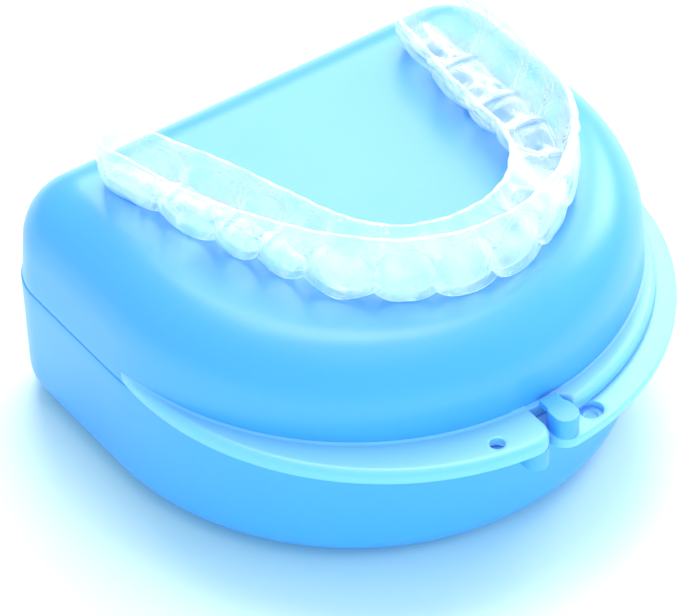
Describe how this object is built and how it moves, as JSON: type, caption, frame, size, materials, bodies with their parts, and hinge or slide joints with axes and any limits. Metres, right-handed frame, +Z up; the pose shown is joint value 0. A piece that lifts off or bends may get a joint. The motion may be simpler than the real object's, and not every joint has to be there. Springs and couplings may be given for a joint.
{
  "type": "dental aligner with hinged storage case",
  "caption": "Clear moulded dental aligner lying on the lid of a closed, D-shaped plastic case with a rear hinge and a front latch.",
  "frame": {"origin": "middle of the closed case's footprint, on the surface it stands on", "axes": "+Z up; -Y towards the latch at the round front; +Y towards the hinge at the flat back; +X to the side of the base's wide flange"},
  "size_m": [0.0794, 0.0812, 0.0463],
  "materials": {
    "case_plastic": "pale blue injection-moulded plastic, glossy",
    "aligner_plastic": "clear thermoformed sheet, glossy"
  },
  "bodies": {
    "base": {"base_shell": "case_plastic", "base_front_flange": "case_plastic", "base_side_ledge": "case_plastic", "base_latch_post": "case_plastic", "base_hinge_pin": "case_plastic", "base_hinge_clip": "case_plastic"},
    "lid": {"lid_shell": "case_plastic", "lid_front_flange": "case_plastic", "lid_side_ledge": "case_plastic", "lid_latch_post": "case_plastic", "lid_hinge_pin": "case_plastic", "lid_hinge_clip": "case_plastic"},
    "aligner": {"aligner_shell": "aligner_plastic"}
  },
  "joints": [
    {"name": "lid_hinge", "type": "hinge", "parent": "base", "child": "lid", "pos_m": [0, 0.03707, 0.0204], "axis": [-1, 0, 0], "range_deg": [0, 120]},
    {"name": "aligner_lift", "type": "slide", "parent": "lid", "child": "aligner", "axis": [0, 0, 1], "range_m": [0, 0.02]}
  ]
}
